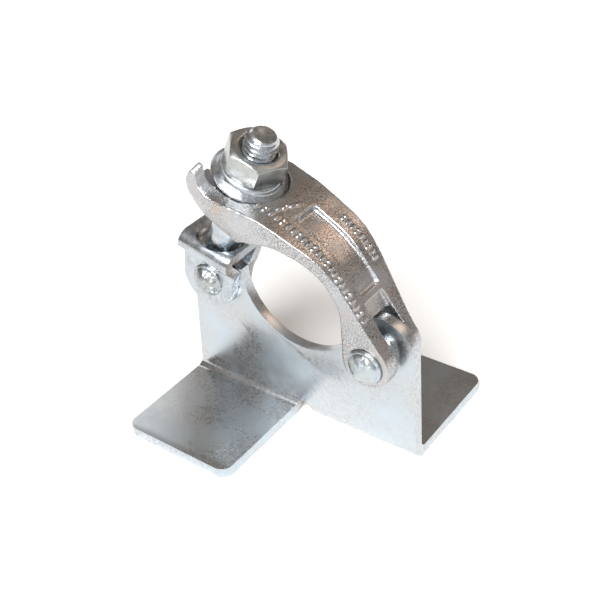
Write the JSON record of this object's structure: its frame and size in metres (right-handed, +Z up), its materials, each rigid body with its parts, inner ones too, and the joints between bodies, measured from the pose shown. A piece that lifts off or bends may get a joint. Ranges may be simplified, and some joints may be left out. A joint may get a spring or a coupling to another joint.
{
  "type": "roof bracket",
  "caption": "Half coupler on a bent steel plate bracket: hinged flap, swing bolt and nut clamp a scaffold tube over two opposed feet.",
  "frame": {"origin": "on the clamped tube's axis, at the bracket plate's mid-plane; the feet stand on the plane z = -57 mm", "axes": "+Y along the clamped tube, towards the rear foot; +X along the plate, from the swing bolt's rivet to the flap's hinge; +Z up, away from the feet"},
  "size_m": [0.0982, 0.0907, 0.1139],
  "materials": {
    "zinc_plate": "bright blue-white zinc plating on rolled steel",
    "forged_zinc": "zinc plating over a pitted forged skin",
    "zinc_rivet": "zinc plating, hammered heads",
    "zinc_strip": "bright zinc plating on bent strip",
    "zinc_bolt": "bright zinc plating, rolled thread",
    "zinc_washer": "satin zinc plating",
    "zinc_nut": "satin zinc plating, machined faces"
  },
  "bodies": {
    "root": {"bracket_plate": "zinc_plate", "flap_pin": "zinc_rivet", "strap_rivet": "zinc_rivet"},
    "flap": {"clamp_flap": "forged_zinc"},
    "bolt": {"bolt_strap": "zinc_strip", "swing_bolt": "zinc_bolt"},
    "washer": {"washer": "zinc_washer"},
    "nut": {"hex_nut": "zinc_nut"}
  },
  "joints": [
    {"name": "bolt_swing", "type": "hinge", "parent": "root", "child": "bolt", "pos_m": [-0.038, 0, -0.0065], "axis": [0, 1, 0], "range_deg": [-95, 0]},
    {"name": "nut_lift", "type": "slide", "parent": "bolt", "child": "washer", "axis": [0.4695, 0, 0.8829], "range_m": [0, 0.139]},
    {"name": "nut_spin", "type": "hinge", "parent": "washer", "child": "nut", "pos_m": [-0.01409, 0, 0.04421], "axis": [0.4695, 0, 0.8829], "continuous": true},
    {"name": "flap_hinge", "type": "hinge", "parent": "root", "child": "flap", "pos_m": [0.0335, 0, -0.0125], "axis": [0, 1, 0], "range_deg": [0, 100]}
  ],
  "couplings": [
    {"joint": "flap_hinge", "follows": "nut_lift", "rad_per_m": 12.5}
  ]
}
